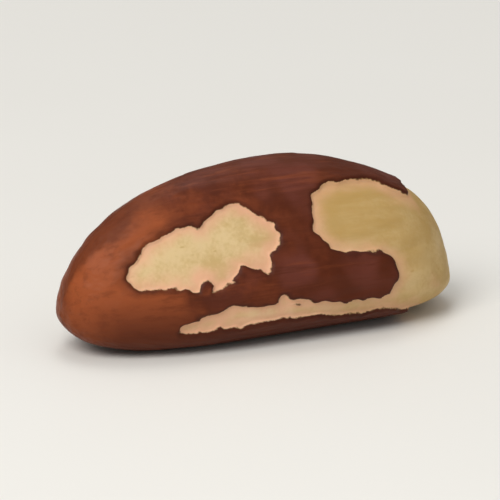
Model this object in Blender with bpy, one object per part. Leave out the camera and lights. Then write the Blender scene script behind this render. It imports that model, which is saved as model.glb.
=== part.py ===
"""A shelled brazil nut with its brown skin partly scraped off, lying on one of its three long faces.

Metres, +Z up. X runs along the nut from its narrow tip to its blunt tip, -Y is the straight side that
the scraped window is on, and the origin is under the middle of the nut, on the surface that it lies on.
"""

import bmesh
import bpy
import numpy as np
from mathutils import Vector

MM = 0.001

# Driving sizes of the nut.
LENGTH = 38.4 * MM
WIDTH = 16.8 * MM
HEIGHT = 15.35 * MM
SKIN_THICKNESS = 0.32 * MM
REST_CUT = 0.15 * MM  # how much of the rounded face the small flat rest takes off

# Where the parts of the outline lie, as shares of the driving sizes.
FRONT_SHARE = 0.47  # of the width lies in front of the line through the tips
HIGHEST_AT = 0.05 * LENGTH  # along X from the middle, as the next two
WIDEST_AT = 0.04 * LENGTH
LOWEST_AT = -0.05 * LENGTH
NARROW_TIP = np.array([-0.5 * LENGTH, -0.080 * WIDTH, 0.260 * HEIGHT])
BLUNT_TIP = np.array([0.5 * LENGTH, 0.115 * WIDTH, 0.195 * HEIGHT])

# Superellipse powers of each edge line, towards the narrow and the blunt tip: 2 is an ellipse.
TOP_POWERS = (2.8, 1.95)
BASE_POWERS = (4.4, 6.5)
FRONT_POWERS = (3.2, 4.3)
BACK_POWERS = (1.75, 2.1)

# The three long ridges: their places round the section, and how sharp each one is.
RIDGE_ANGLES = np.radians([95.0, 212.0, 330.0])
RIDGE_SHARPNESS = np.array([0.42, 0.58, 0.58])
TWIST = np.radians(-5.0)  # turn of the ridges at the blunt tip, and back at the narrow one

# Lumps left from growing against the other nuts in the pod.
LUMP_DEPTH = 0.16 * MM
LUMP_SPAN = 11.0 * MM

# Where the skin is scraped off. Each scrape is a chain of round spots:
# (place along X in mm, angle round the section in degrees, radius in mm).
SCRAPES = {
    "window": [(-13.6, 155, 1.3), (-11.5, 153, 2.1), (-9.4, 154, 2.75), (-7.0, 155, 2.8)],
    "window_lobe": [(-7.0, 155, 2.8), (-4.2, 150, 2.9), (-2.9, 152, 2.4)],
    "window_tail": [(-2.6, 157, 1.8), (-1.9, 161, 1.4), (-2.0, 167, 0.85)],
    "blunt_end": [(6.6, 143, 3.6), (9.3, 141, 3.65), (12.6, 148, 3.5), (12.9, 178, 3.1)],
    "blunt_tip": [(12.6, 148, 3.5), (17.2, 165, 4.2), (16.6, 100, 3.6), (17.6, 40, 3.4), (18.2, 330, 3.8)],
    "blunt_cap": [(18.5, 185, 2.6), (18.8, 0, 2.6)],
    "blunt_base": [(18.2, 330, 3.8), (16.0, 280, 3.4), (15.2, 225, 2.8), (13.4, 195, 1.9)],
    "front_ridge": [(11.4, 200, 1.8), (9.2, 204, 0.8), (4.2, 203, 0.55), (0.7, 201, 0.6), (-5.2, 197, 0.6)],
    "front_ridge_end": [(-5.2, 197, 0.6), (-8.3, 200, 0.5), (-10.0, 203, 0.2)],
    "back_face": [(-9.5, 28, 2.2), (-5.0, 20, 3.2), (-1.5, 15, 2.6), (2.5, 24, 2.9), (6.5, 38, 1.8)],
    "back_ridge": [(-13.0, 330, 0.8), (-6.0, 334, 1.1), (1.0, 336, 0.7)],
    "top_ridge": [(-5.5, 76, 0.5), (-1.0, 73, 0.9), (3.5, 75, 0.5)],
}
# Skin left standing inside the scrapes, as chains of the same kind.
KEPT_SKIN = {
    "window_notch": [(-7.8, 130, 0.5), (-7.7, 134, 0.6)],
    "window_tooth": [(-4.2, 167, 0.6), (-3.2, 174, 0.9)],
    "tongue": [(0.8, 175, 1.7), (3.6, 178, 1.9), (7.9, 178, 1.9)],
    "back_tooth": [(-2.4, 5, 1.2), (-2.0, 16, 0.5)],
}
BLEND = 0.25 * MM  # how softly neighbouring spots run together

# The torn edge of the skin wavers, with round bites of bare kernel and pointed teeth of skin.
BITE_DEPTH = 0.20 * MM
BITE_SPAN = 3.2 * MM
TOOTH_DEPTH = 0.22 * MM
TOOTH_SPAN = 1.7 * MM
WAVES = 24  # plane waves summed for each kind of unevenness
WAVE_STRETCH = 0.6  # below 1, the waves are longer along X
EDGE_SLOPE = 0.8 * MM  # width over which the skin's edge drops to the kernel

STATIONS = 74  # faces from tip to tip
SECTORS = 74  # faces round the section

SKIN_COLOUR = (0.20, 0.062, 0.027, 1.0)
SKIN_ROUGHNESS = 0.45


def clear_scene():
    for obj in list(bpy.data.objects):
        bpy.data.objects.remove(obj)


def swell(x, peak, powers):
    """1 at the peak and 0 at both tips: on each side, the square root of 1 less the distance's power."""
    half = LENGTH / 2
    reach = np.where(x < peak, peak + half, half - peak)
    power = np.where(x < peak, *powers)
    distance = np.clip(np.abs(x - peak) / reach, 0.0, 1.0)
    return np.sqrt(1.0 - distance**power)


def rounded_triangle(angle, twist):
    """Y and Z of the section at an angle: each ridge pulls by an exponential of the cosine of its angle off."""
    ridges = RIDGE_ANGLES[:, None] + twist
    pull = np.exp(RIDGE_SHARPNESS[:, None] * np.cos(angle - ridges))
    pull /= pull.sum(axis=0)
    return (np.cos(ridges) * pull).sum(axis=0), (np.sin(ridges) * pull).sum(axis=0)


def section_reach():
    """The lowest and the highest Y and Z of the untwisted section, which the edge lines stretch to size."""
    y, z = rounded_triangle(np.radians(np.arange(360.0)), 0.0)
    return y.min(), y.max(), z.min(), z.max()


def smooth_nut(x, angle):
    """Points of the nut without its skin's relief, from places along X and angles round the section.

    At each place, straight lines through the tips and four swelling edge lines say how far the section
    reaches to the front, back, base and top, and the rounded triangle is stretched to fit between them."""
    share = x / LENGTH + 0.5
    tip_y, tip_z = (NARROW_TIP[i] + (BLUNT_TIP[i] - NARROW_TIP[i]) * share for i in (1, 2))
    front = tip_y - (tip_y + FRONT_SHARE * WIDTH) * swell(x, 0.0, FRONT_POWERS)
    back = tip_y + ((1.0 - FRONT_SHARE) * WIDTH - tip_y) * swell(x, WIDEST_AT, BACK_POWERS)
    base = tip_z * (1.0 - swell(x, LOWEST_AT, BASE_POWERS))
    top = tip_z + (HEIGHT - tip_z) * swell(x, HIGHEST_AT, TOP_POWERS)
    y, z = rounded_triangle(angle, TWIST * (2.0 * share - 1.0))
    y_low, y_high, z_low, z_high = section_reach()
    y = front + (back - front) * (y - y_low) / (y_high - y_low)
    z = base + (top - base) * (z - z_low) / (z_high - z_low)
    return np.stack([x, y, z], axis=-1)


def waves(points, span, seed):
    """Smooth unevenness of about -1 to 1: a sum of plane waves in seeded directions."""
    draw = np.random.default_rng(seed)
    directions = draw.normal(size=(3, WAVES))
    directions /= np.linalg.norm(directions, axis=0)
    directions[0] *= WAVE_STRETCH
    phases = draw.uniform(0.0, 2.0 * np.pi, WAVES)
    return np.cos(2.0 * np.pi / span * points @ directions + phases).sum(axis=-1) / np.sqrt(WAVES)


def distance_from(chains, points):
    """Distance of the points from the nearest edge of the chains of spots: below 0 inside one.

    Along each link the radius changes evenly, and the links run together by a soft minimum."""
    closeness = np.zeros(len(points))
    for chain in chains.values():
        along, angle, radius = np.array(chain).T
        centres = smooth_nut(along * MM, np.radians(angle))
        for i in range(len(chain) - 1):
            link = centres[i + 1] - centres[i]
            share = np.clip((points - centres[i]) @ link / (link @ link), 0.0, 1.0)
            nearest = centres[i] + share[:, None] * link
            limit = (radius[i] + (radius[i + 1] - radius[i]) * share) * MM
            closeness += np.exp((limit - np.linalg.norm(points - nearest, axis=1)) / BLEND)
    return -BLEND * np.log(closeness)


def skin_margin(points):
    """How far inside the skin each point lies, in metres: below 0 the kernel is bare."""
    scraped = distance_from(SCRAPES, points)
    kept = -distance_from(KEPT_SKIN, points)
    bites = BITE_DEPTH * waves(points, BITE_SPAN, seed=11)
    teeth = TOOTH_DEPTH * (0.5 - np.abs(waves(points, TOOTH_SPAN, seed=12)))
    return np.maximum(scraped, kept) + bites + teeth


def raised(points, normals):
    """The points moved out along their normals by the lumps and, under the skin, by its thickness."""
    lumps = LUMP_DEPTH * waves(points, LUMP_SPAN, seed=10)
    cover = np.clip(skin_margin(points) / EDGE_SLOPE + 0.5, 0.0, 1.0)
    cover = cover * cover * (3.0 - 2.0 * cover)
    return points + normals * (lumps + SKIN_THICKNESS * (cover - 1.0))[:, None]


def read_points(mesh, name, vectors):
    values = np.empty(len(mesh.vertices) * 3, np.float32)
    vectors.foreach_get(name, values)
    return values.reshape(-1, 3).astype(float)


def nut_mesh():
    """A UV sphere with its poles on X, whose points are carried to the nut's surface and then raised."""
    shape = bmesh.new()
    bmesh.ops.create_uvsphere(shape, u_segments=SECTORS, v_segments=STATIONS, radius=1.0)
    mesh = bpy.data.meshes.new("brazil_nut")
    shape.to_mesh(mesh)
    shape.free()
    y, z, x = read_points(mesh, "co", mesh.vertices).T
    points = smooth_nut(np.clip(x, -1.0, 1.0) * LENGTH / 2, np.arctan2(z, y))
    mesh.vertices.foreach_set("co", points.astype(np.float32).ravel())
    mesh.update()
    normals = read_points(mesh, "vector", mesh.vertex_normals)
    mesh.vertices.foreach_set("co", raised(points, normals).astype(np.float32).ravel())
    mesh.update()
    return mesh


def cut_flat_rest(mesh):
    """Slices a little off the lowest face, closes the cut with one flat face, and stands it on Z = 0."""
    floor = min(v.co.z for v in mesh.vertices) + REST_CUT
    shape = bmesh.new()
    shape.from_mesh(mesh)
    cut = bmesh.ops.bisect_plane(
        shape,
        geom=[*shape.verts, *shape.edges, *shape.faces],
        dist=0.001 * MM,
        plane_co=(0.0, 0.0, floor),
        plane_no=(0.0, 0.0, -1.0),
        clear_outer=True,
    )
    rim = [e for e in cut["geom_cut"] if isinstance(e, bmesh.types.BMEdge)]
    # Points that were already within the cut's tolerance are brought into its plane too.
    for edge in rim:
        for point in edge.verts:
            point.co.z = floor
    bmesh.ops.contextual_create(shape, geom=rim)
    bmesh.ops.recalc_face_normals(shape, faces=shape.faces)
    low = Vector((min(v.co[i] for v in shape.verts) for i in range(3)))
    high = Vector((max(v.co[i] for v in shape.verts) for i in range(3)))
    middle = (low + high) / 2.0
    bmesh.ops.translate(shape, verts=shape.verts, vec=(-middle.x, -middle.y, -low.z))
    shape.to_mesh(mesh)
    shape.free()


def skin_material():
    material = bpy.data.materials.new("brown_skin")
    material.use_nodes = True
    shader = material.node_tree.nodes["Principled BSDF"]
    shader.inputs["Base Color"].default_value = SKIN_COLOUR
    shader.inputs["Roughness"].default_value = SKIN_ROUGHNESS
    shader.inputs["Metallic"].default_value = 0.0
    return material


def brazil_nut():
    mesh = nut_mesh()
    cut_flat_rest(mesh)
    mesh.materials.append(skin_material())
    mesh.shade_smooth()
    nut = bpy.data.objects.new("brazil_nut", mesh)
    bpy.context.scene.collection.objects.link(nut)
    return nut


clear_scene()
brazil_nut()
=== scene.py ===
"""Looks of a shelled brazil nut with its brown skin partly scraped off, in metres and in the part's frame.

The nut's surface is grown again on a fine grid, with torn skin edges, wrinkles and scraped kernel, and it
stands for the plain solid. A stage adds a pale floor, soft light and a close camera.
"""

import bpy
import numpy as np
from bpy.props import FloatProperty, FloatVectorProperty, PointerProperty
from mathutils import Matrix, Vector


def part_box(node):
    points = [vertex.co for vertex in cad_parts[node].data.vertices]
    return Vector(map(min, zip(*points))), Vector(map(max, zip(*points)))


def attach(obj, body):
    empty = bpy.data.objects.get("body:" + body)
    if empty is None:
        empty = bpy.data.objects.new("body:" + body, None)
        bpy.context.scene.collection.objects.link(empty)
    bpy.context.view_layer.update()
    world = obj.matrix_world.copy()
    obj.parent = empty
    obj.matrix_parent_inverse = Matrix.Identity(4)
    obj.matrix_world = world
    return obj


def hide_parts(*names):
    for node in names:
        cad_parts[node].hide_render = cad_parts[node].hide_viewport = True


bl_info = {
    "name": "Brazil nut",
    "version": (1, 0, 0),
    "blender": (4, 5, 0),
    "location": "3D View > Sidebar > Brazil nut",
    "description": "Grows a shelled brazil nut with partly scraped skin and sets a small stage for it",
    "category": "Add Mesh",
}

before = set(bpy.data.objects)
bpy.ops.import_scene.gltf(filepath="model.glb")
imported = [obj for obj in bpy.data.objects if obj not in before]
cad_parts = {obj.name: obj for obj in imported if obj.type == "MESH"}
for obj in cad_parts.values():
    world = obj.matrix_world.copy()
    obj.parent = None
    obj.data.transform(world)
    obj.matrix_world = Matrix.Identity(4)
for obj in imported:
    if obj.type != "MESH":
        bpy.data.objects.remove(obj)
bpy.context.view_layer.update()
SOLID_LOW, SOLID_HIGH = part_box("brazil_nut")
SOLID_MIDDLE = ((SOLID_LOW[0] + SOLID_HIGH[0]) / 2.0, (SOLID_LOW[1] + SOLID_HIGH[1]) / 2.0)

MM = 0.001

# Where the parts of the outline lie, as shares of the nut's length, width and height.
FRONT_SHARE = 0.47  # of the width lies in front of the line through the tips
HIGHEST_AT = 0.05  # along X from the middle, as the next two
WIDEST_AT = 0.04
LOWEST_AT = -0.05
NARROW_TIP = (-0.5, -0.080, 0.260)
BLUNT_TIP = (0.5, 0.115, 0.195)

# Superellipse powers of each edge line, towards the narrow and the blunt tip: 2 is an ellipse.
TOP_POWERS = (2.8, 1.95)
BASE_POWERS = (4.4, 6.5)
FRONT_POWERS = (3.2, 4.3)
BACK_POWERS = (1.75, 2.1)

# The three long ridges: their places round the section, and how sharp each one is.
RIDGE_ANGLES = np.radians([95.0, 212.0, 330.0])
RIDGE_SHARPNESS = np.array([0.42, 0.58, 0.58])
TWIST = np.radians(-5.0)  # turn of the ridges at the blunt tip, and back at the narrow one
RIDGE_REACH = np.radians(14.0)  # how far the painted shade along the top ridge fades out to each side
REST_CUT = 0.15 * MM  # how much of the rounded face the small flat rest takes off

# Slow lumps, left from growing packed in a pod.
LUMP_DEPTH = 0.16 * MM
LUMP_SPAN = 11.0 * MM

# Where the skin is scraped off. Each scrape is a chain of round spots:
# (place along X in mm, angle round the section in degrees, radius in mm).
SCRAPES = {
    "window": [(-13.6, 155, 1.3), (-11.5, 153, 2.1), (-9.4, 154, 2.75), (-7.0, 155, 2.8)],
    "window_lobe": [(-7.0, 155, 2.8), (-4.2, 150, 2.9), (-2.9, 152, 2.4)],
    "window_tail": [(-2.6, 157, 1.8), (-1.9, 161, 1.4), (-2.0, 167, 0.85)],
    "blunt_end": [(6.6, 143, 3.6), (9.3, 141, 3.65), (12.6, 148, 3.5), (12.9, 178, 3.1)],
    "blunt_tip": [(12.6, 148, 3.5), (17.2, 165, 4.2), (16.6, 100, 3.6), (17.6, 40, 3.4), (18.2, 330, 3.8)],
    "blunt_cap": [(18.5, 185, 2.6), (18.8, 0, 2.6)],
    "blunt_base": [(18.2, 330, 3.8), (16.0, 280, 3.4), (15.2, 225, 2.8), (13.4, 195, 1.9)],
    "front_ridge": [(11.4, 200, 1.8), (9.2, 204, 0.8), (4.2, 203, 0.55), (0.7, 201, 0.6), (-5.2, 197, 0.6)],
    "front_ridge_end": [(-5.2, 197, 0.6), (-8.3, 200, 0.5), (-10.0, 203, 0.2)],
    "back_face": [(-9.5, 28, 2.2), (-5.0, 20, 3.2), (-1.5, 15, 2.6), (2.5, 24, 2.9), (6.5, 38, 1.8)],
    "back_ridge": [(-13.0, 330, 0.8), (-6.0, 334, 1.1), (1.0, 336, 0.7)],
    "top_ridge": [(-5.5, 76, 0.5), (-1.0, 73, 0.9), (3.5, 75, 0.5)],
}
# Skin left standing inside the scrapes, as chains of the same kind.
KEPT_SKIN = {
    "window_notch": [(-7.8, 130, 0.5), (-7.7, 134, 0.6)],
    "window_tooth": [(-4.2, 167, 0.6), (-3.2, 174, 0.9)],
    "tongue": [(0.8, 175, 1.7), (3.6, 178, 1.9), (7.9, 178, 1.9)],
    "back_tooth": [(-2.4, 5, 1.2), (-2.0, 16, 0.5)],
}
# Small grazes of the skin, and shreds of it along the tears: chains again, but too fine for the solid.
GRAZES = {
    "strip_hem": [(4.4, 208, 0.40), (7.4, 211, 0.45), (8.9, 210, 0.45)],
    "strip_start": [(-7.9, 201, 0.50), (-5.0, 203, 0.45)],
    "strip_bump": [(-0.7, 192, 0.62), (-0.7, 189, 0.38)],
}
SHREDS = {
    "window_shred": [(-8.0, 180, 1.00), (-7.9, 174, 0.75)],
    "window_side": [(0.5, 157, 0.90), (0.1, 164, 1.35), (-0.4, 170, 1.25), (-1.0, 175, 1.00)],
    "strip_gap": [(1.1, 186, 0.60), (2.2, 187, 0.50)],
    "tooth_root": [(-4.7, 172, 0.65), (-3.2, 175, 0.80), (-1.9, 177, 0.50)],
    "tongue_end": [(5.0, 184, 1.90), (8.6, 179, 1.95)],
}
BLEND = 0.25 * MM  # how softly neighbouring spots run together

# The torn edge of the skin wavers, with round bites of bare kernel and pointed teeth of skin.
BITE_DEPTH = 0.20 * MM
BITE_SPAN = 3.2 * MM
TOOTH_DEPTH = 0.22 * MM
TOOTH_SPAN = 1.7 * MM
SHRED_DEPTH = 0.07 * MM  # fine shreds, which only this fine grid can hold
SHRED_SPAN = 0.8 * MM
WAVES = 24  # plane waves summed for each kind of unevenness
WAVE_STRETCH = 0.6  # below 1, the waves are longer along X
FIBRE_STRETCH = 0.14

# The fine relief of the skin and of the bare kernel.
LIP_WIDTH = 0.35 * MM  # the skin curls up a little along a tear
LIP_HEIGHT = 0.05 * MM
WRINKLE_SPAN = 1.3 * MM
CREASE_SPAN = 0.75 * MM  # sharper creases between the wrinkles
CREASE_SHARE = 0.7  # of the wrinkles' depth
FACET_SPAN = 2.4 * MM  # shallow facets of the scraped kernel
FACET_DEPTH = 0.05 * MM

STATIONS = 340  # faces from tip to tip
SECTORS = 286  # faces round the section

# Cells of each noise pattern to a metre. A shape scales its place first: below 1, it is drawn out along X.
FRAY_SCALE = 2600.0  # the finest raggedness of a tear
UNEVEN_SCALE = 330.0  # the changing width of what lines a tear
PATCH_SCALE = 230.0  # patches of light skin and of bloom
BAND_SCALE = 300.0  # the uneven border of the painted shade behind the top ridge
SKIN_BLOTCH_SCALE, SKIN_GRAIN_SCALE = 260.0, 1500.0
KERNEL_BLOTCH_SCALE, KERNEL_GRAIN_SCALE = 420.0, 3200.0
DARK_FIBRE_SCALE, DARK_FIBRE_SHAPE = 1500.0, (0.07, 1.0, 1.0)
PALE_FIBRE_SCALE, PALE_FIBRE_SHAPE = 1000.0, (0.09, 1.0, 1.0)
STREAK_SCALE, STREAK_SHAPE = 520.0, (0.12, 1.0, 1.0)
FLECK_SCALE, FLECK_SHAPE = 1700.0, (0.45, 1.0, 1.0)
CLOUD_SCALE = 18.0  # faint clouds on the floor
RAGGEDNESS = 0.22  # how far a tear's finest raggedness reaches, in mm

FLOOR_HALF = 3.0  # from the floor's middle to its sides
HORIZON_SHARE, ZENITH_SHARE = 0.35, 1.3  # of the surround's brightness
SENSOR_WIDTH = 36.0  # in mm, as Blender keeps it
AIM_HEIGHT = 0.44  # where the camera looks, as a share of the nut's height
# Soft lights: place in metres, diameter, share of the main one's power, and colour.
LIGHTS = {
    "key": ((-0.34, -0.24, 0.42), 0.40, 1.0, (1.0, 0.97, 0.93)),
    "top": ((0.05, 0.18, 0.50), 0.25, 0.20, (1.0, 0.98, 0.95)),
    "low": ((-0.10, -0.60, 0.10), 0.50, 0.13, (1.0, 0.98, 0.95)),
}


class NutShape(bpy.types.PropertyGroup):
    """Sizes of the nut"""

    length: FloatProperty(
        name="Length", description="From tip to tip", default=38.4 * MM, min=0.01, unit="LENGTH"
    )
    width: FloatProperty(
        name="Width", description="Across the nut, front to back", default=16.8 * MM, min=0.005, unit="LENGTH"
    )
    height: FloatProperty(
        name="Height", description="From the face that it lies on to its top ridge", default=15.35 * MM,
        min=0.005, unit="LENGTH",
    )
    skin_thickness: FloatProperty(
        name="Skin thickness", description="Depth of the scraped patches", default=0.32 * MM, min=0.0,
        max=0.001, unit="LENGTH",
    )
    skin_slope: FloatProperty(
        name="Tear width", description="Width over which a torn edge drops to the kernel", default=0.30 * MM,
        min=0.0001, max=0.002, unit="LENGTH",
    )
    wrinkle_depth: FloatProperty(
        name="Wrinkle depth", description="Depth of the skin's lengthwise wrinkles", default=0.026 * MM,
        min=0.0, max=0.0003, unit="LENGTH",
    )


class NutFinish(bpy.types.PropertyGroup):
    """Colours of the nut"""

    skin: FloatVectorProperty(
        name="Skin", description="Main colour of the skin", default=(0.172, 0.037, 0.012), min=0.0, max=1.0,
        subtype="COLOR",
    )
    # Besides the pale fibres, this paler skin towards the narrow tip is partly a painted glow where the light
    # falls.
    skin_light_and_glow: FloatVectorProperty(
        name="Light skin", description="Skin where it is thin, towards the narrow tip",
        default=(0.295, 0.070, 0.020), min=0.0, max=1.0, subtype="COLOR",
    )
    # Also the colour of the painted shade low down, along the top ridge, behind it and at the narrow tip, and
    # partly of the darker blunt end.
    skin_dark_and_shade: FloatVectorProperty(
        name="Dark skin", description="Skin beside a tear and towards the blunt end",
        default=(0.080, 0.015, 0.004), min=0.0, max=1.0, subtype="COLOR",
    )
    tear: FloatVectorProperty(
        name="Tear", description="Skin right at a tear", default=(0.034, 0.007, 0.003), min=0.0, max=1.0,
        subtype="COLOR",
    )
    skin_bloom: FloatVectorProperty(
        name="Bloom", description="Dull purple bloom in the darker skin", default=(0.132, 0.033, 0.021),
        min=0.0, max=1.0, subtype="COLOR",
    )
    kernel: FloatVectorProperty(
        name="Kernel", description="Main colour of the bare kernel", default=(0.67, 0.507, 0.272), min=0.0,
        max=1.0, subtype="COLOR",
    )
    # Also the tan of the blunt end, which is partly painted shade.
    kernel_tan_and_shade: FloatVectorProperty(
        name="Tan kernel", description="Drier blotches of the bare kernel", default=(0.460, 0.296, 0.101),
        min=0.0, max=1.0, subtype="COLOR",
    )
    rim: FloatVectorProperty(
        name="Tear rim", description="Bare kernel right beside a tear", default=(0.74, 0.405, 0.262), min=0.0,
        max=1.0, subtype="COLOR",
    )


class StageSettings(bpy.types.PropertyGroup):
    """Floor, light and camera"""

    floor: FloatVectorProperty(
        name="Floor", description="Colour of the floor", default=(0.80, 0.80, 0.775), min=0.0, max=1.0,
        subtype="COLOR",
    )
    key_power: FloatProperty(
        name="Key light", description="Power of the main soft light", default=2.45, min=0.0, unit="POWER"
    )
    surround: FloatProperty(
        name="Surround", description="Brightness of the even light from all round", default=0.42, min=0.0
    )
    turn: FloatProperty(
        name="Turn", description="How far the camera stands to the narrow tip's side",
        default=np.radians(-25.0), subtype="ANGLE",
    )
    rise: FloatProperty(
        name="Rise", description="How steeply the camera looks down", default=np.radians(16.5),
        subtype="ANGLE",
    )
    distance: FloatProperty(
        name="Distance", description="From the camera to the nut", default=1.1, min=0.1, unit="LENGTH"
    )
    view_width: FloatProperty(
        name="View width", description="What the picture takes in, at the nut", default=44.0 * MM, min=0.01,
        unit="LENGTH",
    )


def swell(share, peak, powers):
    """1 at the peak and 0 at both tips: on each side, the square root of 1 less the distance's power."""
    reach = np.where(share < peak, peak + 0.5, 0.5 - peak)
    power = np.where(share < peak, *powers)
    distance = np.clip(np.abs(share - peak) / reach, 0.0, 1.0)
    return np.sqrt(1.0 - distance**power)


def rounded_triangle(angle, twist):
    """Y and Z of the section at an angle.

    Each ridge pulls with an exponential of the cosine of how far off it lies."""
    ridges = RIDGE_ANGLES[:, None] + twist
    pull = np.exp(RIDGE_SHARPNESS[:, None] * np.cos(angle - ridges))
    pull /= pull.sum(axis=0)
    return (np.cos(ridges) * pull).sum(axis=0), (np.sin(ridges) * pull).sum(axis=0)


def smooth_nut(shape, share, angle):
    """Points of the nut without its relief, from places along X and angles round it.

    A place is a share of the length from the middle. At each place, straight lines through the tips and four
    swelling edge lines say how far the section reaches to the front, back, base and top, and the rounded
    triangle is stretched to fit between them."""
    along = share + 0.5
    tip_y = shape.width * (NARROW_TIP[1] + (BLUNT_TIP[1] - NARROW_TIP[1]) * along)
    tip_z = shape.height * (NARROW_TIP[2] + (BLUNT_TIP[2] - NARROW_TIP[2]) * along)
    front = tip_y - (tip_y + FRONT_SHARE * shape.width) * swell(share, 0.0, FRONT_POWERS)
    back = tip_y + ((1.0 - FRONT_SHARE) * shape.width - tip_y) * swell(share, WIDEST_AT, BACK_POWERS)
    base = tip_z * (1.0 - swell(share, LOWEST_AT, BASE_POWERS))
    top = tip_z + (shape.height - tip_z) * swell(share, HIGHEST_AT, TOP_POWERS)
    y, z = rounded_triangle(angle, TWIST * 2.0 * share)
    y_reach, z_reach = rounded_triangle(np.radians(np.arange(360.0)), 0.0)
    y = front + (back - front) * (y - y_reach.min()) / np.ptp(y_reach)
    z = base + (top - base) * (z - z_reach.min()) / np.ptp(z_reach)
    return np.stack([share * shape.length, y, z], axis=-1)


def waves(points, span, seed, stretch=WAVE_STRETCH):
    """Smooth unevenness of about -1 to 1: a sum of plane waves in seeded directions."""
    draw = np.random.default_rng(seed)
    directions = draw.normal(size=(3, WAVES))
    directions /= np.linalg.norm(directions, axis=0)
    directions[0] *= stretch
    phases = draw.uniform(0.0, 2.0 * np.pi, WAVES)
    return np.cos(2.0 * np.pi / span * points @ directions + phases).sum(axis=-1) / np.sqrt(WAVES)


def distance_from(shape, chains, points):
    """Distance of the points from the nearest edge of the chains of spots: below 0 inside one.

    Along each link the radius changes evenly, and the links run together by a soft minimum."""
    closeness = np.zeros(len(points))
    for chain in chains.values():
        along, angle, radius = np.array(chain).T
        centres = smooth_nut(shape, along * MM / shape.length, np.radians(angle))
        for i in range(len(chain) - 1):
            link = centres[i + 1] - centres[i]
            share = np.clip((points - centres[i]) @ link / (link @ link), 0.0, 1.0)
            nearest = centres[i] + share[:, None] * link
            limit = (radius[i] + (radius[i + 1] - radius[i]) * share) * MM
            closeness += np.exp((limit - np.linalg.norm(points - nearest, axis=1)) / BLEND)
    return -BLEND * np.log(closeness)


def skin_margin(shape, points):
    """How far inside the skin each point lies, in metres: below 0 the kernel is bare."""
    scraped = distance_from(shape, SCRAPES | GRAZES, points)
    kept = -distance_from(shape, KEPT_SKIN | SHREDS, points)
    bites = BITE_DEPTH * waves(points, BITE_SPAN, seed=11)
    teeth = TOOTH_DEPTH * (0.5 - np.abs(waves(points, TOOTH_SPAN, seed=12)))
    shreds = SHRED_DEPTH * waves(points, SHRED_SPAN, seed=13)
    return np.maximum(scraped, kept) + bites + teeth + shreds


def relief(shape, points, margin):
    """Height of the surface over the smooth nut.

    Slow lumps, less the skin's thickness where it is scraped off, plus a low lip along each tear,
    lengthwise wrinkles with sharper creases on the skin and shallow facets on the bare kernel."""
    cover = np.clip(margin / shape.skin_slope + 0.5, 0.0, 1.0)
    cover = cover * cover * (3.0 - 2.0 * cover)
    lip = LIP_HEIGHT * np.exp(-(((margin - LIP_WIDTH) / LIP_WIDTH) ** 2))
    wrinkles = waves(points, WRINKLE_SPAN, seed=14, stretch=FIBRE_STRETCH)
    creases = 0.5 - np.abs(waves(points, CREASE_SPAN, seed=16, stretch=FIBRE_STRETCH))
    wrinkles = shape.wrinkle_depth * (wrinkles + CREASE_SHARE * creases)
    facets = FACET_DEPTH * (np.abs(waves(points, FACET_SPAN, seed=15, stretch=FIBRE_STRETCH)) - 0.5)
    lumps = LUMP_DEPTH * waves(points, LUMP_SPAN, seed=10)
    return lumps + shape.skin_thickness * (cover - 1.0) + cover * (lip + wrinkles) + (1.0 - cover) * facets


def grid_faces(rings, sectors):
    """Four-sided faces between neighbouring rings, and a fan at each tip, all facing outwards."""
    ring, sector = np.meshgrid(np.arange(rings - 1), np.arange(sectors), indexing="ij")
    after = (sector + 1) % sectors
    near, far = ring * sectors, (ring + 1) * sectors
    quads = np.stack([near + sector, near + after, far + after, far + sector], axis=-1).reshape(-1, 4)
    sector, after = np.arange(sectors), (np.arange(sectors) + 1) % sectors
    first, last = rings * sectors, rings * sectors + 1
    start_fan = np.stack([np.full(sectors, first), after, sector], axis=-1)
    end_row = (rings - 1) * sectors
    end_fan = np.stack([np.full(sectors, last), end_row + sector, end_row + after], axis=-1)
    return [*quads.tolist(), *start_fan.tolist(), *end_fan.tolist()]


def grid_places():
    """Places along X, as shares of the length, and angles: rings spaced by a cosine, then the two tips."""
    share = -0.5 * np.cos(np.pi * np.arange(1, STATIONS) / STATIONS)
    angle = 2.0 * np.pi * np.arange(SECTORS) / SECTORS
    share, angle = np.meshgrid(share, angle, indexing="ij")
    return np.append(share.ravel(), [-0.5, 0.5]), np.append(angle.ravel(), [0.0, 0.0])


def settle(points):
    """Moves the nut to where the solid lies, and flattens the spot that it rests on."""
    middle = (points.min(axis=0) + points.max(axis=0)) / 2.0
    lowest = points[:, 2].min()
    points = points - [middle[0], middle[1], lowest + REST_CUT]
    points[:, 2] = np.maximum(points[:, 2], 0.0)
    points[:, :2] += SOLID_MIDDLE
    return points


def nut_mesh(shape):
    """A closed grid of rings between the tips, carried to the nut's surface and raised along its normals.

    The mesh keeps four values for its material: how far inside the skin each point lies, in millimetres,
    the place along X, from 0 at the narrow tip to 1 at the blunt one, the nearness to the top ridge, and
    how far the point is turned to the back, from -1 at the front to 1."""
    share, angle = grid_places()
    smooth = smooth_nut(shape, share, angle)
    mesh = bpy.data.meshes.new("scraped_nut")
    mesh.from_pydata(smooth.tolist(), [], grid_faces(STATIONS - 1, SECTORS))
    normals = np.empty(smooth.size, np.float32)
    mesh.vertex_normals.foreach_get("vector", normals)
    margin = skin_margin(shape, smooth)
    raised = smooth + normals.reshape(-1, 3) * relief(shape, smooth, margin)[:, None]
    mesh.vertices.foreach_set("co", settle(raised).astype(np.float32).ravel())
    keep_value(mesh, "skin_margin", margin / MM)
    keep_value(mesh, "along", share + 0.5)
    keep_value(mesh, "top_ridge", np.exp(-(((angle - RIDGE_ANGLES[0]) / RIDGE_REACH) ** 2)))
    keep_value(mesh, "to_back", np.cos(angle))
    mesh.shade_smooth()
    mesh.validate()
    mesh.update()
    return mesh


def keep_value(mesh, name, values):
    """Keeps one number for each vertex, which a material can read by its name."""
    attribute = mesh.attributes.new(name, "FLOAT", "POINT")
    attribute.data.foreach_set("value", values.astype(np.float32))


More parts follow.
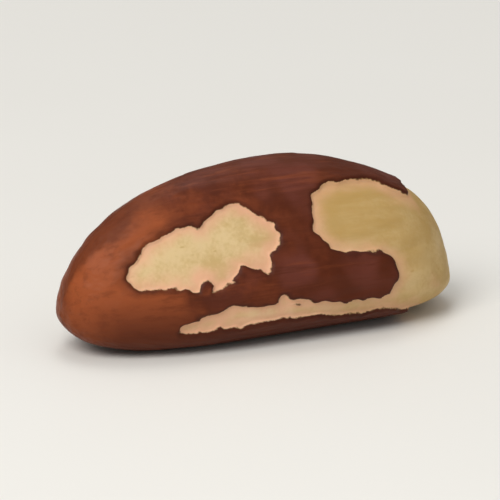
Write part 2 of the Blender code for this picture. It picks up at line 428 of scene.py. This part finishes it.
class Graph:
    """Adds nodes to a node tree and links them: a value is set on a socket, and a socket is linked to it."""

    def __init__(self, tree):
        self.tree = tree

    def add(self, kind, inputs=None, **settings):
        node = self.tree.nodes.new(kind)
        for name, value in settings.items():
            setattr(node, name, value)
        for name, value in (inputs or {}).items():
            self.put(node.inputs[name], value)
        return node

    def put(self, socket, value):
        if isinstance(value, bpy.types.NodeSocket):
            self.tree.links.new(value, socket)
        else:
            socket.default_value = value

    def maths(self, operation, a, b=0.0, c=0.0):
        return self.add("ShaderNodeMath", {0: a, 1: b, 2: c}, operation=operation).outputs[0]

    def between(self, value, low, high, to_low=0.0, to_high=1.0):
        """The value carried smoothly from one range to another, and held at the ends."""
        inputs = {"Value": value, "From Min": low, "From Max": high, "To Min": to_low, "To Max": to_high}
        return self.add("ShaderNodeMapRange", inputs, interpolation_type="SMOOTHSTEP").outputs["Result"]

    def mix(self, share, a, b):
        """Colour a where the share is 0, and b where it is 1."""
        node = self.add("ShaderNodeMix", data_type="RGBA")
        sockets = {socket.name: socket for socket in node.inputs if socket.enabled}
        for name, value in (("Factor", share), ("A", a), ("B", b)):
            self.put(sockets[name], value)
        return next(socket for socket in node.outputs if socket.enabled)

    def noise(self, vector, scale, detail=3.0, roughness=0.55):
        inputs = {"Vector": vector, "Scale": scale, "Detail": detail, "Roughness": roughness}
        return self.add("ShaderNodeTexNoise", inputs).outputs["Fac"]

    def stretched(self, vector, scale):
        """The vector scaled differently along X, Y and Z."""
        return self.add("ShaderNodeMapping", {"Vector": vector, "Scale": scale}).outputs["Vector"]


def new_group(name, inputs, outputs):
    """An empty node group with named inputs and outputs; returns its graph and its two end nodes."""
    group = bpy.data.node_groups.new(name, "ShaderNodeTree")
    for label, kind in inputs.items():
        group.interface.new_socket(label, in_out="INPUT", socket_type=kind)
    for label, kind in outputs.items():
        group.interface.new_socket(label, in_out="OUTPUT", socket_type=kind)
    graph = Graph(group)
    return graph, graph.add("NodeGroupInput"), graph.add("NodeGroupOutput")


def torn_edge_group():
    """Turns the skin's margin into masks: where skin is, the bare rim of a tear, and skin beside and at it.

    The rim and the skin beside a tear are uneven along it."""
    inputs = {"Margin": "NodeSocketFloat", "Vector": "NodeSocketVector", "Raggedness": "NodeSocketFloat"}
    outputs = {
        "Skin": "NodeSocketFloat", "Rim": "NodeSocketFloat", "Beside tear": "NodeSocketFloat",
        "At tear": "NodeSocketFloat",
    }
    graph, start, end = new_group("torn_edge", inputs, outputs)
    fray = graph.noise(start.outputs["Vector"], FRAY_SCALE, detail=2.0)
    fray = graph.maths("MULTIPLY", graph.maths("SUBTRACT", fray, 0.5), start.outputs["Raggedness"])
    margin = graph.maths("ADD", start.outputs["Margin"], fray)
    skin = graph.between(margin, -0.05, 0.05)
    uneven = graph.noise(start.outputs["Vector"], UNEVEN_SCALE, detail=2.0)
    bare_side = graph.between(graph.maths("MULTIPLY_ADD", uneven, -1.2, margin), -2.4, -0.3)
    patchy = graph.between(uneven, 0.35, 0.65, 0.5, 0.9)
    graph.put(end.inputs["Skin"], skin)
    graph.put(end.inputs["Rim"], graph.maths("MULTIPLY", bare_side, graph.maths("SUBTRACT", 1.0, skin)))
    graph.put(end.inputs["Beside tear"], graph.maths("MULTIPLY", graph.between(margin, 1.4, 0.2), patchy))
    graph.put(end.inputs["At tear"], graph.maths("MULTIPLY", graph.between(margin, 0.5, 0.08), patchy))
    return graph.tree


def mottle_group():
    """Blotches of an even colour towards a second one, broken by fine grains."""
    inputs = {
        "Vector": "NodeSocketVector", "Colour": "NodeSocketColor", "Blotch colour": "NodeSocketColor",
        "Blotch scale": "NodeSocketFloat", "Grain scale": "NodeSocketFloat", "Strength": "NodeSocketFloat",
    }
    outputs = {"Colour": "NodeSocketColor", "Grain": "NodeSocketFloat"}
    graph, start, end = new_group("mottle", inputs, outputs)
    blotch = graph.noise(start.outputs["Vector"], start.outputs["Blotch scale"], detail=3.0)
    grain = graph.noise(start.outputs["Vector"], start.outputs["Grain scale"], detail=2.0)
    broken = graph.maths("MULTIPLY_ADD", grain, 0.35, blotch)
    share = graph.between(broken, 0.50, 0.86, 0.0, start.outputs["Strength"])
    graph.put(end.inputs["Colour"], graph.mix(share, start.outputs["Colour"], start.outputs["Blotch colour"]))
    graph.put(end.inputs["Grain"], grain)
    return graph.tree


def shade(colour):
    """The colour with full opacity."""
    return (*colour, 1.0)


def skin_colour(graph, finish, place, mottle, marks, edge):
    """Skin: paler towards the narrow tip, partly its own tone and partly a painted glow of the light from
    that side, and darker towards the blunt one, partly painted shade, with dull bloom and fine fibres.

    Returns the colour and the dark fibres, which also shape the surface."""
    blotched = graph.add(
        "ShaderNodeGroup",
        {"Vector": place, "Colour": shade(finish.skin), "Blotch colour": shade(finish.skin_dark_and_shade),
         "Blotch scale": SKIN_BLOTCH_SCALE, "Grain scale": SKIN_GRAIN_SCALE, "Strength": 1.0},
        node_tree=mottle,
    )
    along = marks["along"]
    # Paler towards the narrow tip: partly the skin's own tone, partly a painted glow of the light from that
    # side.
    wander = graph.maths("MULTIPLY_ADD", graph.noise(place, PATCH_SCALE, detail=4.0), 0.75, along)
    light = graph.between(wander, 0.76, 0.44)
    brown = graph.mix(light, blotched.outputs["Colour"], shade(finish.skin_light_and_glow))
    # Darker, with bloom, towards the blunt end: partly the skin's own tone, partly painted shade.
    bloom = graph.between(graph.noise(place, PATCH_SCALE, detail=1.0), 0.42, 0.62)
    dark = graph.mix(bloom, shade(finish.skin_dark_and_shade), shade(finish.skin_bloom))
    brown = graph.mix(graph.between(wander, 0.66, 1.00, 0.0, 0.9), brown, dark)
    dark_place = graph.stretched(place, DARK_FIBRE_SHAPE)
    fibres = graph.noise(dark_place, DARK_FIBRE_SCALE, detail=5.0, roughness=0.68)
    shown = graph.between(along, 0.05, 0.40, 0.30, 0.50)
    dark_fibres = graph.maths("MULTIPLY", graph.between(fibres, 0.48, 0.66), shown)
    brown = graph.mix(dark_fibres, brown, shade(finish.skin_dark_and_shade))
    pale_place = graph.stretched(place, PALE_FIBRE_SHAPE)
    pale_fibres = graph.noise(pale_place, PALE_FIBRE_SCALE, detail=5.0, roughness=0.62)
    shown = graph.between(along, 0.40, 0.70, 0.45, 0.22)
    pale_fibres = graph.maths("MULTIPLY", graph.between(pale_fibres, 0.53, 0.70), shown)
    brown = graph.mix(pale_fibres, brown, shade(finish.skin_light_and_glow))
    # Painted shade, and the skin's own darker tone beside tears.
    brown = graph.mix(shade_and_tear_darkening(graph, place, marks, edge), brown, shade(finish.skin_dark_and_shade))
    at_tear = graph.maths("MULTIPLY", edge.outputs["At tear"], 0.7)
    return graph.mix(at_tear, brown, shade(finish.tear)), fibres


def shade_and_tear_darkening(graph, place, marks, edge):
    """How far the skin darkens.

    Painted shade makes it darker low down, on the top ridge, behind that ridge near the narrow tip and at
    this tip itself; beside tears it is the skin's own darker tone."""
    along, to_back = marks["along"], marks["to_back"]
    height = graph.add("ShaderNodeSeparateXYZ", {0: place}).outputs["Z"]
    # Painted shade low down, where the nut turns under towards the floor, weaker at the narrow tip.
    past_tip = graph.between(along, 0.02, 0.11, 0.50, 1.0)
    low = graph.maths("MULTIPLY", graph.between(height, 7.0 * MM, 2.2 * MM, 0.0, 0.88), past_tip)
    # Painted shade along the top ridge, stronger towards the blunt end.
    ridge = graph.maths("MULTIPLY", marks["top_ridge"], graph.between(along, 0.30, 0.60, 0.15, 0.45))
    # Painted shade behind the top ridge near the narrow tip, where the surface turns away from the light.
    uneven = graph.maths("MULTIPLY_ADD", graph.noise(place, BAND_SCALE, detail=3.0), 0.9, to_back)
    paler_back = graph.between(to_back, 0.0, 0.7, 0.70, 0.40)
    behind = graph.maths("MULTIPLY", graph.between(uneven, -0.20, 0.20), paler_back)
    behind = graph.maths("MULTIPLY", behind, graph.between(along, 0.30, 0.16))
    # Painted shade at the narrow tip itself.
    tip = graph.between(along, 0.02, 0.0, 0.0, 0.5)
    # The skin's own darker tone beside tears.
    darkest = graph.maths("MULTIPLY", edge.outputs["Beside tear"], 0.5)
    for share in (low, ridge, behind, tip):
        darkest = graph.maths("MAXIMUM", share, darkest)
    return darkest


def kernel_colour(graph, finish, place, mottle, marks, edge):
    """Bare kernel: cream with tan blotches, sandy grains and flecks, and tan and streaked at the blunt end,
    where the tan is partly painted shade.

    It is pinkish beside a tear. Returns the colour, and the streaks and grains, which also shape the
    surface."""
    blotched = graph.add(
        "ShaderNodeGroup",
        {"Vector": place, "Colour": shade(finish.kernel), "Blotch colour": shade(finish.kernel_tan_and_shade),
         "Blotch scale": KERNEL_BLOTCH_SCALE, "Grain scale": KERNEL_GRAIN_SCALE, "Strength": 0.6},
        node_tree=mottle,
    )
    along = marks["along"]
    streaks = graph.noise(graph.stretched(place, STREAK_SHAPE), STREAK_SCALE, detail=4.0)
    height = graph.add("ShaderNodeSeparateXYZ", {0: place}).outputs["Z"]
    # Tan at the blunt end, more so higher up: partly the kernel's drier tone, partly painted shade.
    high = graph.between(height, 5.0 * MM, 9.5 * MM, 0.65, 1.0)
    blunt_tan_and_shade = graph.maths("MULTIPLY", graph.between(along, 0.50, 0.62), high)
    blunt_tan_and_shade = graph.maths("MULTIPLY", blunt_tan_and_shade, graph.between(streaks, 0.32, 0.62, 0.6, 1.0))
    cream = graph.mix(blunt_tan_and_shade, blotched.outputs["Colour"], shade(finish.kernel_tan_and_shade))
    flecks = graph.noise(graph.stretched(place, FLECK_SHAPE), FLECK_SCALE, detail=1.0)
    cream = graph.mix(graph.between(flecks, 0.70, 0.80, 0.0, 0.6), cream, shade(finish.kernel_tan_and_shade))
    rim = graph.maths("MULTIPLY", edge.outputs["Rim"], graph.between(along, 0.50, 0.64, 0.9, 0.6))
    surface = graph.maths("MULTIPLY_ADD", streaks, 1.5, blotched.outputs["Grain"])
    return graph.mix(rim, cream, shade(finish.rim)), surface


def nut_material(finish):
    """Satin brown skin over matte cream kernel, parted by the margin that the mesh keeps."""
    material = bpy.data.materials.new("brown_skin_over_cream_kernel")
    material.use_nodes = True
    graph = Graph(material.node_tree)
    place = graph.add("ShaderNodeTexCoord").outputs["Object"]
    marks = {
        name: graph.add("ShaderNodeAttribute", attribute_name=name).outputs["Fac"]
        for name in ("skin_margin", "along", "top_ridge", "to_back")
    }
    mottle = mottle_group()
    edge = graph.add(
        "ShaderNodeGroup",
        {"Margin": marks["skin_margin"], "Vector": place, "Raggedness": RAGGEDNESS},
        node_tree=torn_edge_group(),
    )
    skin = edge.outputs["Skin"]
    brown, fibres = skin_colour(graph, finish, place, mottle, marks, edge)
    cream, surface = kernel_colour(graph, finish, place, mottle, marks, edge)
    shader = material.node_tree.nodes["Principled BSDF"]
    graph.put(shader.inputs["Base Color"], graph.mix(skin, cream, brown))
    skin_gloss = graph.between(fibres, 0.35, 0.65, 0.44, 0.56)
    kernel_gloss = graph.between(surface, 0.9, 1.6, 0.52, 0.68)
    gloss_step = graph.maths("SUBTRACT", skin_gloss, kernel_gloss)
    gloss = graph.maths("MULTIPLY_ADD", gloss_step, skin, kernel_gloss)
    graph.put(shader.inputs["Roughness"], gloss)
    height = graph.maths("MULTIPLY_ADD", graph.maths("SUBTRACT", fibres, surface), skin, surface)
    bump = graph.add("ShaderNodeBump", {"Height": height, "Strength": 0.35, "Distance": 0.06 * MM})
    graph.put(shader.inputs["Normal"], bump.outputs["Normal"])
    shader.inputs["Subsurface Weight"].default_value = 0.12
    shader.inputs["Subsurface Radius"].default_value = (1.0, 0.45, 0.22)
    shader.inputs["Subsurface Scale"].default_value = 0.9 * MM
    shader.inputs["Specular IOR Level"].default_value = 0.15
    return material


def floor_material(settings):
    """Matte pale floor with faint warm clouds."""
    material = bpy.data.materials.new("pale_floor")
    material.use_nodes = True
    graph = Graph(material.node_tree)
    shader = material.node_tree.nodes["Principled BSDF"]
    place = graph.add("ShaderNodeTexCoord").outputs["Object"]
    cloud = graph.between(graph.noise(place, CLOUD_SCALE, detail=2.0), 0.3, 0.7, 0.0, 0.05)
    graph.put(shader.inputs["Base Color"], graph.mix(cloud, shade(settings.floor), (0.6, 0.58, 0.55, 1.0)))
    shader.inputs["Roughness"].default_value = 0.6
    return material


def look_from(settings, target):
    """Where the camera stands: back from the target by the turn, the rise and the distance."""
    turn, rise = settings.turn, settings.rise
    back = Vector((np.sin(turn) * np.cos(rise), -np.cos(turn) * np.cos(rise), np.sin(rise)))
    return Vector(target) + back * settings.distance, back


def add_camera(settings, target):
    """The photograph's viewing angle, seen with a long lens."""
    data = bpy.data.cameras.new("camera")
    camera = bpy.data.objects.new("camera", data)
    bpy.context.scene.collection.objects.link(camera)
    camera.location, back = look_from(settings, target)
    camera.rotation_euler = back.to_track_quat("Z", "Y").to_euler()
    data.sensor_width = SENSOR_WIDTH
    data.lens = SENSOR_WIDTH * settings.distance / settings.view_width
    data.clip_start, data.clip_end = 0.05, 20.0
    bpy.context.scene.camera = camera


def add_light(name, place, target, size, power, colour):
    """A round soft light that faces the target."""
    data = bpy.data.lights.new(name, "AREA")
    data.shape = "DISK"
    data.size = size
    data.energy = power
    data.color = colour
    light = bpy.data.objects.new(name, data)
    bpy.context.scene.collection.objects.link(light)
    light.location = place
    light.rotation_euler = (Vector(place) - Vector(target)).to_track_quat("Z", "Y").to_euler()


def add_floor(settings):
    """A wide flat square, which isn't part of the nut."""
    corners = [(x * FLOOR_HALF, y * FLOOR_HALF, 0.0) for x, y in ((-1, -1), (1, -1), (1, 1), (-1, 1))]
    mesh = bpy.data.meshes.new("floor")
    mesh.from_pydata(corners, [], [(0, 1, 2, 3)])
    mesh.materials.append(floor_material(settings))
    floor = bpy.data.objects.new("floor", mesh)
    bpy.context.scene.collection.objects.link(floor)


def set_surround(settings):
    """Even light from above, dimmer towards the horizon."""
    world = bpy.data.worlds.new("surround")
    world.use_nodes = True
    graph = Graph(world.node_tree)
    background = world.node_tree.nodes["Background"]
    background.inputs["Color"].default_value = (1.0, 0.98, 0.95, 1.0)
    direction = graph.add("ShaderNodeTexCoord").outputs["Generated"]
    height = graph.add("ShaderNodeSeparateXYZ", {0: direction}).outputs["Z"]
    low, high = settings.surround * HORIZON_SHARE, settings.surround * ZENITH_SHARE
    graph.put(background.inputs["Strength"], graph.between(height, 0.0, 0.75, low, high))
    bpy.context.scene.world = world


class NUT_OT_grow(bpy.types.Operator):
    """Grow the nut: kernel, skin and scrapes in one closed surface"""

    bl_idname = "brazil_nut.grow"
    bl_label = "Grow nut"
    bl_options = {"REGISTER", "UNDO"}

    def execute(self, context):
        nut = bpy.data.objects.new("scraped_nut", nut_mesh(context.scene.nut_shape))
        nut.data.materials.append(nut_material(context.scene.nut_finish))
        context.scene.collection.objects.link(nut)
        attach(nut, "root")
        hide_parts("brazil_nut")
        return {"FINISHED"}


class NUT_OT_set_stage(bpy.types.Operator):
    """Lay the floor, hang the lights and place the camera"""

    bl_idname = "brazil_nut.set_stage"
    bl_label = "Set stage"
    bl_options = {"REGISTER", "UNDO"}

    def execute(self, context):
        settings = context.scene.nut_stage
        target = (*SOLID_MIDDLE, SOLID_HIGH[2] * AIM_HEIGHT)
        add_floor(settings)
        add_camera(settings, target)
        for name, (place, size, share, colour) in LIGHTS.items():
            add_light(name, place, target, size, settings.key_power * share, colour)
        set_surround(settings)
        context.scene.view_settings.view_transform = "Standard"
        return {"FINISHED"}


class NUT_PT_panel(bpy.types.Panel):
    """Sizes, colours and stage of the brazil nut"""

    bl_idname = "NUT_PT_panel"
    bl_label = "Brazil nut"
    bl_space_type = "VIEW_3D"
    bl_region_type = "UI"
    bl_category = "Brazil nut"

    def draw(self, context):
        scene = context.scene
        for group in (scene.nut_shape, scene.nut_finish, scene.nut_stage):
            box = self.layout.box()
            for name in group.bl_rna.properties.keys():
                if name not in ("rna_type", "name"):
                    box.prop(group, name)
        self.layout.operator(NUT_OT_grow.bl_idname)
        self.layout.operator(NUT_OT_set_stage.bl_idname)


CLASSES = (NutShape, NutFinish, StageSettings, NUT_OT_grow, NUT_OT_set_stage, NUT_PT_panel)


def register():
    for cls in CLASSES:
        bpy.utils.register_class(cls)
    bpy.types.Scene.nut_shape = PointerProperty(type=NutShape)
    bpy.types.Scene.nut_finish = PointerProperty(type=NutFinish)
    bpy.types.Scene.nut_stage = PointerProperty(type=StageSettings)


def unregister():
    del bpy.types.Scene.nut_shape
    del bpy.types.Scene.nut_finish
    del bpy.types.Scene.nut_stage
    for cls in reversed(CLASSES):
        bpy.utils.unregister_class(cls)


def main():
    register()
    bpy.ops.brazil_nut.grow()
    bpy.ops.brazil_nut.set_stage()


if __name__ == "__main__":
    main()
